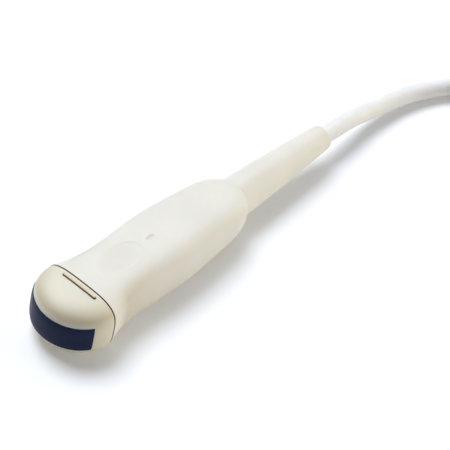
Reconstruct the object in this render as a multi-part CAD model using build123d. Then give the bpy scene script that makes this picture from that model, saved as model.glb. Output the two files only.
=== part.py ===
from build123d import *
import os
from math import cos, radians, sin, tan

os.makedirs("parts", exist_ok=True)

# Sizes in millimetres. Stations run along the probe from the seam plane, negative towards the lens.

# Clearances
SEAT_GAP = 0.05
SLIP_GAP = 0.1
RUNNING_GAP = 0.3

# Head and nose cap
HEAD_WIDTH = 33.0
HEAD_THICKNESS = 22.2
HEAD_SQUARENESS = 3.5
NOSE_SETBACK = 0.6
WALL = 2.0
SHELF_SETBACK = 2.0
SPIGOT_LENGTH = 6.0
SPIGOT_WALL = 1.4

# Lens and array stack, measured outwards from the centre of the array's curve
ELEMENT_RADIUS = 14.5
ELEMENT_DEPTH = 0.4
ELEMENT_HEIGHT = 8.8
ELEMENT_COUNT = 64
ELEMENT_SPREAD = 114.0
KERF_SHARE = 0.12
MATCHING_DEPTH = 0.4
MATCHING_HEIGHT = 9.2
MATCHING_SPREAD = 118.0
LENS_HEIGHT = 10.6
LENS_SPREAD = 125.0
LENS_PROUD = 0.15
BACKING_WIDTH = 23.8
BACKING_HEIGHT = 9.0

# Orientation rib on the nose cap
RIB_LENGTH = 15.5
RIB_WIDTH = 1.4
RIB_RISE = 0.8
RIB_DEPTH = 0.8
RIB_ROUND = 0.45
RIB_SETBACK = 1.85

# Sealing bead in the seam
BEAD_WIDTH = 0.5
BEAD_RECESS = 0.3

# Handle sections, front to back: station, width, thickness, squareness
HANDLE_LENGTH = 82.0
FLARE_STATION = 4.0
FLARE_WIDTH = 30.9
FLARE_THICKNESS = 21.7
WAIST_STATION = 12.0
WAIST_WIDTH = 27.4
WAIST_THICKNESS = 22.0
GRIP_STATION = 38.0
GRIP_WIDTH = 27.3
GRIP_THICKNESS = 22.0
TAPER_SETBACK = 26.0
TAPER_STATION = HANDLE_LENGTH - TAPER_SETBACK
TAPER_WIDTH = 25.8
TAPER_THICKNESS = 21.2
REAR_SETBACK = 11.0
REAR_STATION = HANDLE_LENGTH - REAR_SETBACK
REAR_WIDTH = 23.2
REAR_THICKNESS = 19.0
SHOULDER_SETBACK = 4.0
SHOULDER_STATION = HANDLE_LENGTH - SHOULDER_SETBACK
SHOULDER_WIDTH = 21.0
SHOULDER_THICKNESS = 17.4
SHOULDER_SQUARENESS = 3.0
END_WIDTH = 17.6
END_THICKNESS = 17.2
GRIP_SQUARENESS = 4.0
END_SQUARENESS = 2.1
END_BEVEL = 0.6

# Thumb scoop and tactile dash on the handle's top
SCOOP_STATION = 18.6
SCOOP_LENGTH = 21.0
SCOOP_WIDTH = 12.2
SCOOP_DEPTH = 0.24
DASH_STATION = 35.1
DASH_LENGTH = 5.0
DASH_WIDTH = 1.8
DASH_DEPTH = 0.2

# Strain relief boot
BOOT_LENGTH = 54.0
BOOT_BASE_RADIUS = 8.05
BOOT_MIDDLE_RADIUS = 6.75
BOOT_TIP_RADIUS = 4.95
BOOT_TIP_ROUND = 1.2
BOOT_NECK_RADIUS = 4.9
BOOT_FLANGE_RADIUS = 6.2
BOOT_FLANGE_LENGTH = 2.0
JACKET_INSERT = 25.0

# Electronics in the handle
FLEX_WIDTH = 17.0
FLEX_THICKNESS = 0.2
FLEX_END = 14.0
CARRIER_WIDTH = 23.0
CARRIER_HEIGHT = 12.0
CARRIER_DEPTH = 2.0
CARRIER_ROUND = 3.0
BOARD_FRONT = 8.0
BOARD_SETBACK = 31.5
BOARD_LENGTH = HANDLE_LENGTH - BOARD_SETBACK - BOARD_FRONT
BOARD_WIDTH = 17.0
BOARD_THICKNESS = 1.0
BOARD_GRIP = 1.5
SOCKET_LENGTH = 4.0
SOCKET_WIDTH = 15.0
SOCKET_HEIGHT = 1.2
SPACER_RADIUS = 1.6
SPACER_FRONT_SHARE = 2 / 9
SPACER_REAR_SHARE = 5 / 27
SPACER_OFFSET = 6.0
SMALL_SCREW_RADIUS = 0.8
SMALL_SCREW_LENGTH = 4.0
SMALL_HEAD_RADIUS = 1.5
SMALL_HEAD_HEIGHT = 1.0
SLEEVE_WALL = 0.3
SLEEVE_INSET = 0.4
BULKHEAD_DEPTH = 4.0

# Cable and its anchor in the handle
CABLE_DIAMETER = 7.0
ARC_SHARE = 0.45
CORE_RADIUS = 2.8
FERRULE_WALL = 0.4
FERRULE_LENGTH = 8.0
CLAMP_LENGTH = 12.0
CLAMP_WIDTH = 15.0
CLAMP_BASE_HEIGHT = 5.4
CLAMP_CAP_HEIGHT = 5.0
CLAMP_SPLIT = 0.3
CLAMP_SCREW_OFFSET = 5.4
CLAMP_SCREW_RADIUS = 0.95
CLAMP_SCREW_DEPTH = 4.0
CLAMP_HEAD_RADIUS = 1.8
CLAMP_HEAD_HEIGHT = 1.2
FANOUT_LENGTH = 8.0
FANOUT_WIDTH = 14.0

# Put-away hank of cable
HANK_CENTRE_X = 219.5
HANK_CENTRE_Y = -21.5
HANK_STRAIGHT = 33.0
HANK_OUTER_RADIUS = 37.0
HANK_INNER_RADIUS = 17.4
HANK_HEIGHT = 28.2
HANK_ROUND = 3.2
TIE_THICKNESS = 0.8
TIE_WIDTH = 12.0

# Plug housing, with its contacts facing the floor
PLUG_REAR_X = 289.0
PLUG_CENTRE_Y = -27.5
PLUG_LENGTH = 64.0
PLUG_WIDTH = 60.0
PLUG_CORNER = 5.0
PLUG_WALL = 2.2
PLUG_TOP = 35.0
PLUG_TOP_ROUND = 4.0
SPLIT_Z = 22.0
TONGUE_WALL = 1.0
TONGUE_HEIGHT = 1.5
SHROUD_DEPTH = 7.0
SHROUD_LENGTH = 54.0
SHROUD_WIDTH = 38.0
SHROUD_WALL = 1.8
SHROUD_CORNER = 4.0
BLOCK_LENGTH = 40.0
BLOCK_WIDTH = 28.0
BLOCK_CORNER = 2.0
BLOCK_RECESS = 2.0
BLOCK_FLANGE = 2.0
PAD_LENGTH = 1.8
PAD_WIDTH = 0.8
PAD_HEIGHT = 0.4
PAD_COLUMNS = 3
PAD_ROWS = 10
PAD_COLUMN_PITCH = 3.0
PAD_ROW_PITCH = 2.4
PAD_BANK_OFFSET = 14.5
PIN_RADIUS = 1.4
PIN_SHANK_RADIUS = 1.0
PIN_OFFSET = 22.6
PIN_TIP_RECESS = 0.8
PLUG_BOARD_LENGTH = 42.0
PLUG_BOARD_WIDTH = 29.0
PLUG_BOARD_THICKNESS = 1.6
COVER_SCREW_SPOTS = ((-4.0, -23.5), (-4.0, 23.5), (25.5, -23.5), (25.5, 23.5))
COVER_BOSS_RADIUS = 3.4
COVER_SCREW_RADIUS = 1.5
COVER_SCREW_LENGTH = 17.0
COVER_HEAD_RADIUS = 2.5
COVER_HEAD_HEIGHT = 2.0
COVER_HEAD_SINK = 1.0

# Cable entry of the plug
ENTRY_OFFSET = -18.5
PLUG_BOOT_LENGTH = 16.0
PLUG_BOOT_BASE_RADIUS = 7.2
PLUG_BOOT_TIP_RADIUS = 5.2
PLUG_BOOT_NECK_RADIUS = 4.9
PLUG_BOOT_FLANGE_RADIUS = 6.0
PLUG_BOOT_FLANGE_LENGTH = 2.0
PLUG_JACKET_INSERT = 7.0
SADDLE_GAP = 0.6
SADDLE_LENGTH = 5.0
SADDLE_WIDTH = 12.0
STRAP_HEIGHT = 4.0
STRAP_SCREW_OFFSET = 4.5
STRAP_SCREW_DEPTH = 6.0
PLUG_CORE_REACH = 13.0
PLUG_FANOUT_LENGTH = 11.0
PLUG_FANOUT_WIDTH = 14.0
PLUG_FANOUT_HEIGHT = 3.0
PLUG_FANOUT_SHIFT = 8.0

# Turning lock of the plug
SHAFT_RADIUS = 4.5
CROSSBAR_LENGTH = 15.0
CROSSBAR_WIDTH = 4.5
CROSSBAR_HEIGHT = 2.4
CROSSBAR_POCKET_RADIUS = 8.2
CROSSBAR_POCKET_DEPTH = 3.2
CLIP_GROOVE_RADIUS = 3.8
CLIP_RADIUS = 7.0
CLIP_THICKNESS = 0.9
KNOB_RADIUS = 14.0
KNOB_DISC_HEIGHT = 3.2
KNOB_BAR_LENGTH = 26.0
KNOB_BAR_WIDTH = 8.5
KNOB_BAR_HEIGHT = 8.0
KNOB_ROUND = 1.4
KNOB_SOCKET_DEPTH = 6.5
KNOB_SCREW_RADIUS = 1.5
KNOB_SCREW_HEAD_RADIUS = 2.8
KNOB_SCREW_HEAD_HEIGHT = 1.6
KNOB_SCREW_SINK = 2.4
KNOB_SCREW_LENGTH = 7.0

# Curve quality of a half outline
OUTLINE_STEPS = 16

# Places worked out from the sizes
head_half = HEAD_WIDTH / 2
head_rise = HEAD_THICKNESS / 2
nose_length = NOSE_SETBACK + head_half + LENS_PROUD
seam_x = (nose_length - HANDLE_LENGTH - BOOT_LENGTH) / 2
boot_tip = HANDLE_LENGTH + BOOT_LENGTH
jacket_start = boot_tip - JACKET_INSERT
dome_axis = Axis((seam_x - NOSE_SETBACK, 0, 0), (0, 0, 1))
cable_radius = CABLE_DIAMETER / 2
carrier_rear = -SHELF_SETBACK
carrier_front = carrier_rear - CARRIER_DEPTH
flex_level = BACKING_HEIGHT / 2
board_level = flex_level + FLEX_THICKNESS
board_end = BOARD_FRONT + BOARD_LENGTH
bulkhead_front = board_end - BOARD_GRIP
bulkhead_rear = bulkhead_front + BULKHEAD_DEPTH
fanout_front = bulkhead_front - FANOUT_LENGTH
cavity_end = SHOULDER_STATION
end_station = HANDLE_LENGTH - END_BEVEL
spigot_half = WAIST_WIDTH / 2 - WALL - SLIP_GAP
spigot_rise = WAIST_THICKNESS / 2 - WALL - SLIP_GAP
ferrule_radius = CORE_RADIUS + SEAT_GAP + FERRULE_WALL


def section_plane(station, height=None):
    """Plane across the probe at a station: local x to the side, local y upwards."""
    level = axis_height if height is None else height
    return Plane(origin=(seam_x + station, 0, level), x_dir=(0, 1, 0), z_dir=(1, 0, 0))


def half_outline(half_width, half_height, squareness):
    """Right half of a rounded outline, from its top point round to its bottom point."""
    points = []
    for step in range(OUTLINE_STEPS + 1):
        angle = radians(90 - 180 * step / OUTLINE_STEPS)
        reach = 0.0 if step in (0, OUTLINE_STEPS) else cos(angle)
        across = half_width * reach ** (2 / squareness)
        rise = half_height * abs(sin(angle)) ** (2 / squareness)
        points.append((across, rise if angle > 0 else -rise))
    return Spline(*points, tangents=[(1, 0), (-1, 0)])


def outline_face(half_width, half_height, squareness, station, height=None):
    """Full rounded outline across the probe at a station."""
    right = half_outline(half_width, half_height, squareness)
    left = mirror(right, about=Plane.YZ)
    return section_plane(station, height) * make_face([right, *left.edges()])


def prism(half_width, half_height, squareness, start, end):
    """Straight length of one outline between two stations."""
    return extrude(outline_face(half_width, half_height, squareness, start), amount=end - start)


def block(start, end, half_width, low, high, side=0.0):
    """Rectangular block between two stations, with heights from the probe's axis."""
    size = (end - start, 2 * half_width, high - low)
    centre = (seam_x + (start + end) / 2, side, axis_height + (low + high) / 2)
    return Pos(*centre) * Box(*size)


def rod(radius, start, end, side=0.0, level=0.0):
    """Round rod along the probe between two stations."""
    face = section_plane(start) * Pos(side, level) * Circle(radius)
    return extrude(face, amount=end - start)


def post(radius, x, y, low, high):
    """Upright round post between two absolute heights."""
    return Pos(x, y, (low + high) / 2) * Cylinder(radius, high - low)


def slab(length, width, corner, low, high, x, y):
    """Upright slab with rounded corners between two absolute heights."""
    return Pos(x, y, low) * extrude(RectangleRounded(length, width, corner), amount=high - low)


# The handle's sections, from the seam to the rear end
handle_sections = [
    (BEAD_WIDTH, HEAD_WIDTH, HEAD_THICKNESS, HEAD_SQUARENESS),
    (FLARE_STATION, FLARE_WIDTH, FLARE_THICKNESS, HEAD_SQUARENESS),
    (WAIST_STATION, WAIST_WIDTH, WAIST_THICKNESS, HEAD_SQUARENESS),
    (GRIP_STATION, GRIP_WIDTH, GRIP_THICKNESS, GRIP_SQUARENESS),
    (TAPER_STATION, TAPER_WIDTH, TAPER_THICKNESS, GRIP_SQUARENESS),
    (REAR_STATION, REAR_WIDTH, REAR_THICKNESS, GRIP_SQUARENESS),
    (SHOULDER_STATION, SHOULDER_WIDTH, SHOULDER_THICKNESS, SHOULDER_SQUARENESS),
    (end_station, END_WIDTH, END_THICKNESS, END_SQUARENESS),
]


def handle_form(sections, inset, height):
    """Smooth body through the given sections, each drawn in by the inset."""
    faces = []
    for station, width, thickness, squareness in sections:
        faces.append(outline_face(width / 2 - inset, thickness / 2 - inset, squareness, station, height))
    return loft(faces)


# The probe lies with its fullest section on the floor
axis_height = -handle_form(handle_sections, 0, 0).bounding_box().min.Z


def dome(grow):
    """Front half of the head: its seam outline turned about the array's centre."""
    right = half_outline(head_half + grow, head_rise + grow, HEAD_SQUARENESS)
    spine = Line((0, -head_rise - grow), (0, head_rise + grow))
    return revolve(section_plane(-NOSE_SETBACK) * make_face([right, spine]), dome_axis, 180)


def nose_form(grow):
    """Head from the lens to the seam."""
    return dome(grow) + prism(head_half + grow, head_rise + grow, HEAD_SQUARENESS, -NOSE_SETBACK, 0)


def sector(inner, outer, height, spread):
    """Curved band about the array's centre, facing forwards."""
    turn = radians(spread / 2)
    plane = Plane(
        origin=(seam_x - NOSE_SETBACK, 0, axis_height),
        x_dir=(-cos(turn), sin(turn), 0),
        z_dir=(sin(turn), cos(turn), 0),
    )
    band = Pos((inner + outer) / 2, 0) * Rectangle(outer - inner, height)
    return revolve(plane * band, dome_axis, spread)


def rib_prism(gap):
    """Upright slot shape that the orientation rib fills."""
    outline = SlotOverall(RIB_LENGTH + 2 * gap, RIB_WIDTH + 2 * gap, rotation=90)
    return Pos(seam_x - RIB_SETBACK, 0, axis_height) * extrude(outline, amount=HEAD_THICKNESS)


def make_nose_cap():
    """Dome with its lens window, rib pocket, inner shelf and spigot."""
    cap = nose_form(0) + prism(spigot_half, spigot_rise, HEAD_SQUARENESS, 0, SPIGOT_LENGTH)
    cavity = dome(-WALL) & block(-nose_length, -SHELF_SETBACK, HEAD_WIDTH, -HEAD_THICKNESS, HEAD_THICKNESS)
    bore = prism(
        spigot_half - SPIGOT_WALL,
        spigot_rise - SPIGOT_WALL,
        HEAD_SQUARENESS,
        -SHELF_SETBACK,
        SPIGOT_LENGTH,
    )
    window = sector(ELEMENT_RADIUS - WALL, HEAD_WIDTH, LENS_HEIGHT + 2 * SEAT_GAP, LENS_SPREAD + SEAT_GAP)
    pocket = rib_prism(SEAT_GAP) - dome(-RIB_DEPTH)
    return cap - cavity - bore - window - pocket


def make_orientation_rib():
    """Raised rib that follows the dome, with a rounded top."""
    rib = (rib_prism(0) & dome(RIB_RISE)) - dome(SEAT_GAP - RIB_DEPTH)
    return fillet(rib.faces().sort_by(Axis.Z)[-1].edges(), RIB_ROUND)


def make_acoustic_lens():
    """Lens over the array, a little proud of the dome."""
    back = ELEMENT_RADIUS + MATCHING_DEPTH
    return sector(back, HEAD_WIDTH, LENS_HEIGHT, LENS_SPREAD) & nose_form(LENS_PROUD)


def make_matching_layer():
    """Thin curved layer between elements and lens."""
    return sector(ELEMENT_RADIUS, ELEMENT_RADIUS + MATCHING_DEPTH, MATCHING_HEIGHT, MATCHING_SPREAD)


def make_element_array():
    """Diced elements, side by side round the curve."""
    pitch = ELEMENT_SPREAD / ELEMENT_COUNT
    element = sector(
        ELEMENT_RADIUS - ELEMENT_DEPTH, ELEMENT_RADIUS, ELEMENT_HEIGHT, pitch * (1 - KERF_SHARE)
    )
    elements = []
    for index in range(ELEMENT_COUNT):
        elements.append(element.rotate(dome_axis, (index - (ELEMENT_COUNT - 1) / 2) * pitch))
    return elements


def make_backing_block():
    """Absorber behind the elements, flat where it meets the carrier."""
    radius = ELEMENT_RADIUS - ELEMENT_DEPTH
    round_front = Pos(seam_x - NOSE_SETBACK, 0, axis_height) * Cylinder(radius, BACKING_HEIGHT)
    half = BACKING_HEIGHT / 2
    return round_front & block(-nose_length, carrier_front, BACKING_WIDTH / 2, -half, half)


def make_array_carrier():
    """Plate on the cap's shelf that carries the backing, slotted for the flex circuits."""
    face = section_plane(carrier_front) * RectangleRounded(CARRIER_WIDTH, CARRIER_HEIGHT, CARRIER_ROUND)
    plate = extrude(face, amount=CARRIER_DEPTH)
    low = flex_level - SLIP_GAP
    high = board_level + SLIP_GAP
    half = FLEX_WIDTH / 2 + SLIP_GAP
    plate -= block(carrier_front, carrier_rear, half, low, high)
    plate -= block(carrier_front, carrier_rear, half, -high, -low)
    return plate


def make_flex_circuit(side):
    """Film from the array's edge over the backing to a board; side is 1 above and -1 below."""
    low, high = sorted((side * flex_level, side * board_level))
    strip = block(-nose_length, FLEX_END, FLEX_WIDTH / 2, low, high)
    radius = ELEMENT_RADIUS - ELEMENT_DEPTH
    front = Pos(seam_x - NOSE_SETBACK, 0, axis_height) * Cylinder(radius, HEAD_THICKNESS)
    return strip & (front + block(-NOSE_SETBACK, FLEX_END, HEAD_WIDTH, -head_rise, head_rise))


def spacer_spots():
    """Places of the board spacers as pairs of absolute x and y, spread between flex circuits and fan-out."""
    spots = []
    run = fanout_front - FLEX_END
    for station in (FLEX_END + SPACER_FRONT_SHARE * run, fanout_front - SPACER_REAR_SHARE * run):
        for side in (-SPACER_OFFSET, SPACER_OFFSET):
            spots.append((seam_x + station, side))
    return spots


def make_board(side):
    """Interconnect board with its screw holes; side is 1 above and -1 below."""
    low, high = sorted((side * board_level, side * (board_level + BOARD_THICKNESS)))
    board = block(BOARD_FRONT, board_end, BOARD_WIDTH / 2, low, high)
    for x, y in spacer_spots():
        board -= post(SMALL_SCREW_RADIUS + SEAT_GAP, x, y, axis_height + low, axis_height + high)
    return board


def make_flex_sockets():
    """Socket on each board's outer face, over the flex circuit's tail."""
    sockets = []
    for side in (1, -1):
        base = board_level + BOARD_THICKNESS
        low, high = sorted((side * base, side * (base + SOCKET_HEIGHT)))
        sockets.append(block(BOARD_FRONT, BOARD_FRONT + SOCKET_LENGTH, SOCKET_WIDTH / 2, low, high))
    return sockets


def make_board_spacers():
    """Tapped pillars between the two boards."""
    spacers = []
    for x, y in spacer_spots():
        pillar = post(SPACER_RADIUS, x, y, axis_height - board_level, axis_height + board_level)
        bore = post(SMALL_SCREW_RADIUS + SEAT_GAP, x, y, axis_height - board_level, axis_height + board_level)
        spacers.append(pillar - bore)
    return spacers


def make_board_screws():
    """Screws through both boards into the spacers."""
    screws = []
    face = board_level + BOARD_THICKNESS
    for x, y in spacer_spots():
        for side in (1, -1):
            levels = sorted((side * (face - SMALL_SCREW_LENGTH), side * face))
            shank = post(SMALL_SCREW_RADIUS, x, y, axis_height + levels[0], axis_height + levels[1])
            levels = sorted((side * face, side * (face + SMALL_HEAD_HEIGHT)))
            head = post(SMALL_HEAD_RADIUS, x, y, axis_height + levels[0], axis_height + levels[1])
            screws.append(shank + head)
    return screws


def make_shield_sleeve():
    """Metal sleeve round the boards, held between the spigot and the rear bulkhead."""
    outer_half = spigot_half - SLEEVE_INSET
    outer_rise = spigot_rise - SLEEVE_INSET
    sleeve = prism(outer_half, outer_rise, HEAD_SQUARENESS, SPIGOT_LENGTH, bulkhead_front)
    return sleeve - prism(
        outer_half - SLEEVE_WALL, outer_rise - SLEEVE_WALL, HEAD_SQUARENESS, SPIGOT_LENGTH, bulkhead_front
    )


def cavity_form(gap):
    """Hollow of the handle, drawn in by a gap."""
    inset = WALL + gap
    inner = [section for section in handle_sections if WAIST_STATION <= section[0] <= cavity_end]
    front = prism(WAIST_WIDTH / 2 - inset, WAIST_THICKNESS / 2 - inset, HEAD_SQUARENESS, 0, WAIST_STATION)
    return handle_form(inner, inset, axis_height) + front


def make_rear_bulkhead():
    """Plate that fills the hollow behind the boards and takes their rear edges."""
    slice_block = block(bulkhead_front, bulkhead_rear, HEAD_WIDTH, -HEAD_THICKNESS, HEAD_THICKNESS)
    plate = cavity_form(SLIP_GAP) & slice_block
    plate -= rod(CORE_RADIUS + SEAT_GAP, bulkhead_front, bulkhead_rear)
    low = board_level - SEAT_GAP
    high = board_level + BOARD_THICKNESS + SEAT_GAP
    half = BOARD_WIDTH / 2 + SEAT_GAP
    plate -= block(bulkhead_front, board_end + SEAT_GAP, half, low, high)
    plate -= block(bulkhead_front, board_end + SEAT_GAP, half, -high, -low)
    return plate


def make_end_rim():
    """Bevelled rim that closes the handle's rear end."""
    half_width, half_height = END_WIDTH / 2, END_THICKNESS / 2
    wide = outline_face(half_width, half_height, END_SQUARENESS, end_station)
    narrow = outline_face(half_width - END_BEVEL, half_height - END_BEVEL, END_SQUARENESS, HANDLE_LENGTH)
    return loft([wide, narrow])


def make_handle_shell():
    """One-piece hollow handle with thumb scoop, tactile dash and rear hole."""
    shell = handle_form(handle_sections, 0, axis_height) + make_end_rim() - cavity_form(0)
    shell -= rod(BOOT_NECK_RADIUS + SEAT_GAP, cavity_end, HANDLE_LENGTH)
    shell -= hollow(SCOOP_STATION, SCOOP_LENGTH, SCOOP_WIDTH, SCOOP_DEPTH)
    return shell - hollow(DASH_STATION, DASH_LENGTH, DASH_WIDTH, DASH_DEPTH)


def top_level(station):
    """Height of the handle's top line over its axis at a station, between its sections."""
    before, after = handle_sections[0], handle_sections[-1]
    for section in handle_sections:
        if section[0] <= station:
            before = section
    for section in reversed(handle_sections):
        if section[0] >= station:
            after = section
    share = (station - before[0]) / max(after[0] - before[0], SEAT_GAP)
    return (before[2] + (after[2] - before[2]) * share) / 2


def hollow(station, length, width, depth):
    """Shallow oval hollow in the handle's top, cut by a flattened ball."""
    flattened = scale(Sphere(length / 2), by=(1, width / length, 4 * depth / length))
    return Pos(seam_x + station, 0, axis_height + top_level(station) + depth) * flattened


def make_seam_seal():
    """Bead that fills the seam, a little below the surface."""
    ring = prism(head_half - BEAD_RECESS, head_rise - BEAD_RECESS, HEAD_SQUARENESS, 0, BEAD_WIDTH)
    return ring - prism(spigot_half + SEAT_GAP, spigot_rise + SEAT_GAP, HEAD_SQUARENESS, 0, BEAD_WIDTH)


def turned(profile_lines, origin):
    """Solid turned about an axis along x through the origin, from a profile of x and radius."""
    plane = Plane(origin=origin, x_dir=(1, 0, 0), z_dir=(0, -1, 0))
    return revolve(plane * make_face(profile_lines), Axis(origin, (1, 0, 0)), 360)


def make_strain_relief():
    """Tapered boot with a neck and flange that hold it in the handle's rear wall."""
    flange_start = cavity_end - BOOT_FLANGE_LENGTH
    middle = HANDLE_LENGTH + BOOT_LENGTH / 2
    outside = Polyline(
        (flange_start, 0),
        (flange_start, BOOT_FLANGE_RADIUS),
        (cavity_end, BOOT_FLANGE_RADIUS),
        (cavity_end, BOOT_NECK_RADIUS),
        (HANDLE_LENGTH, BOOT_NECK_RADIUS),
        (HANDLE_LENGTH, BOOT_BASE_RADIUS),
    )
    taper = ThreePointArc(
        (HANDLE_LENGTH, BOOT_BASE_RADIUS), (middle, BOOT_MIDDLE_RADIUS), (boot_tip, BOOT_TIP_RADIUS)
    )
    closing = Polyline((boot_tip, BOOT_TIP_RADIUS), (boot_tip, 0), (flange_start, 0))
    boot = turned([*outside.edges(), taper, *closing.edges()], (seam_x, 0, axis_height))
    boot = fillet(boot.edges().group_by(Axis.X)[-1], BOOT_TIP_ROUND)
    boot -= rod(CORE_RADIUS + SEAT_GAP, flange_start, jacket_start)
    return boot - rod(cable_radius + SEAT_GAP, jacket_start, boot_tip)


def clamp_half(low, high):
    """Half of the cable clamp, grooved for the ferrule and drilled for its screws."""
    end = bulkhead_rear + CLAMP_LENGTH
    half = block(bulkhead_rear, end, CLAMP_WIDTH / 2, low, high)
    half -= rod(ferrule_radius + SEAT_GAP, bulkhead_rear, end)
    for y in (-CLAMP_SCREW_OFFSET, CLAMP_SCREW_OFFSET):
        x = seam_x + bulkhead_rear + CLAMP_LENGTH / 2
        drill_low = axis_height - CLAMP_SCREW_DEPTH
        half -= post(CLAMP_SCREW_RADIUS + SEAT_GAP, x, y, drill_low, axis_height + CLAMP_CAP_HEIGHT)
    return half


def make_clamp_base():
    """Lower clamp half on the rear bulkhead."""
    return clamp_half(-CLAMP_BASE_HEIGHT, -CLAMP_SPLIT / 2)


def make_clamp_cap():
    """Upper clamp half."""
    return clamp_half(CLAMP_SPLIT / 2, CLAMP_CAP_HEIGHT)


def make_clamp_screws():
    """Two screws that draw the clamp together."""
    screws = []
    x = seam_x + bulkhead_rear + CLAMP_LENGTH / 2
    top = axis_height + CLAMP_CAP_HEIGHT
    for y in (-CLAMP_SCREW_OFFSET, CLAMP_SCREW_OFFSET):
        shank = post(CLAMP_SCREW_RADIUS, x, y, axis_height - CLAMP_SCREW_DEPTH, top)
        screws.append(shank + post(CLAMP_HEAD_RADIUS, x, y, top, top + CLAMP_HEAD_HEIGHT))
    return screws


def make_core_ferrule():
    """Crimp tube on the cable's screened core."""
    start = bulkhead_rear + (CLAMP_LENGTH - FERRULE_LENGTH) / 2
    tube = rod(ferrule_radius, start, start + FERRULE_LENGTH)
    return tube - rod(CORE_RADIUS + SEAT_GAP, start, start + FERRULE_LENGTH)


def make_cable_core():
    """Screened core from the end of the jacket to the boards."""
    return rod(CORE_RADIUS, bulkhead_front, jacket_start)


def make_coax_fanout():
    """Fine wires that spread from the core to the two boards."""
    round_end = section_plane(bulkhead_front) * Circle(CORE_RADIUS)
    flat_plane = section_plane(fanout_front)
    flat_end = flat_plane * Ellipse(FANOUT_WIDTH / 2, board_level - SLIP_GAP)
    return loft([flat_end, round_end])


# The cable's route, chosen by hand: from inside the boot, down to the floor and on to the hank
lead_points = [
    (seam_x + jacket_start, 0, axis_height),
    (90.5, 0, axis_height),
    (129.0, -4.4, 7.4),
    (153.0, -12.6, 3.9),
    (168.0, -28.2, 3.6),
    (177.5, -38.6, 3.7),
    (188.5, -47.2, 4.0),
    (200.5, -52.6, 4.3),
    (213.0, -54.6, 4.4),
]

# The cable's route from the top of the hank into the plug
entry_y = PLUG_CENTRE_Y + ENTRY_OFFSET
plug_boot_tip = PLUG_REAR_X - PLUG_BOOT_LENGTH
tail_end = plug_boot_tip + PLUG_JACKET_INSERT
tail_points = [
    (226.0, -54.1, 25.3),
    (239.0, -52.3, 24.7),
    (252.3, -48.3, 23.2),
    (266.0, entry_y, SPLIT_Z),
    (tail_end, entry_y, SPLIT_Z),
]


def corner_radii(points):
    """Radius at each corner of a route, as large as its two runs allow."""
    radii = []
    for before, corner, after in zip(points, points[1:], points[2:]):
        run_in = Vector(*corner) - Vector(*before)
        run_out = Vector(*after) - Vector(*corner)
        half_turn = radians(run_in.get_angle(run_out) / 2)
        radii.append(ARC_SHARE * min(run_in.length, run_out.length) / tan(half_turn))
    return radii


def make_tube(name, points):
    """Round cable along straight runs joined by tangent arcs."""
    radii = corner_radii(points)
    path = FilletPolyline(*points, radius=radii)
    tube = sweep(Plane(origin=path @ 0, z_dir=path % 0) * Circle(cable_radius), path=path)
    expected = Circle(cable_radius).area * path.length
    print(name, "radii", [round(radius, 1) for radius in radii])
    print(name, "length", round(path.length, 1), "volume share", round(tube.volume / expected, 4))
    return tube


def make_cable_hank():
    """Outer form of the folded cable, resting on its two ties."""
    low = TIE_THICKNESS + SEAT_GAP
    outside = SlotCenterToCenter(HANK_STRAIGHT, 2 * HANK_OUTER_RADIUS)
    inside = SlotCenterToCenter(HANK_STRAIGHT, 2 * HANK_INNER_RADIUS)
    ring = extrude(outside - inside, amount=HANK_HEIGHT)
    flats = ring.faces().filter_by(Axis.Z)
    ring = fillet([edge for face in flats for edge in face.edges()], HANK_ROUND)
    return Pos(HANK_CENTRE_X, HANK_CENTRE_Y, low) * ring


def make_hank_ties():
    """Strap round each long side of the hank."""
    span = HANK_OUTER_RADIUS - HANK_INNER_RADIUS + 2 * SEAT_GAP
    rise = HANK_HEIGHT + 2 * SEAT_GAP
    outer = RectangleRounded(span + 2 * TIE_THICKNESS, rise + 2 * TIE_THICKNESS, HANK_ROUND + TIE_THICKNESS)
    loop = outer - RectangleRounded(span, rise, HANK_ROUND)
    ties = []
    for side in (-1, 1):
        y = HANK_CENTRE_Y + side * (HANK_OUTER_RADIUS + HANK_INNER_RADIUS) / 2
        z = TIE_THICKNESS + rise / 2
        plane = Plane(
            origin=(HANK_CENTRE_X - TIE_WIDTH / 2, y, z), x_dir=(0, 1, 0), z_dir=(1, 0, 0)
        )
        ties.append(extrude(plane * loop, amount=TIE_WIDTH))
    return ties


# The plug's own places
plug_x = PLUG_REAR_X + PLUG_LENGTH / 2
plug_y = PLUG_CENTRE_Y
plug_floor = SHROUD_DEPTH + PLUG_WALL
plug_ceiling = PLUG_TOP - PLUG_WALL
flange_top = plug_floor + BLOCK_FLANGE
plug_board_top = flange_top + PLUG_BOARD_THICKNESS
entry_origin = (PLUG_REAR_X, entry_y, SPLIT_Z)
inner_length = PLUG_LENGTH - 2 * PLUG_WALL
inner_width = PLUG_WIDTH - 2 * PLUG_WALL
inner_corner = PLUG_CORNER - PLUG_WALL
saddle_start = PLUG_REAR_X + PLUG_WALL + PLUG_BOOT_FLANGE_LENGTH + SADDLE_GAP
saddle_end = saddle_start + SADDLE_LENGTH
clip_top = plug_ceiling - RUNNING_GAP
shaft_top = PLUG_TOP + RUNNING_GAP + KNOB_SOCKET_DEPTH
crossbar_low = BLOCK_RECESS + SLIP_GAP
crossbar_high = crossbar_low + CROSSBAR_HEIGHT


def entry_rod(radius, start, end):
    """Round rod along the plug's cable entry between two absolute x places."""
    return Pos((start + end) / 2, entry_y, SPLIT_Z) * Rot(0, 90, 0) * Cylinder(radius, end - start)


def cover_screw_spots():
    """Absolute places of the cover screws."""
    return [(plug_x + dx, plug_y + dy) for dx, dy in COVER_SCREW_SPOTS]


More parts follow.
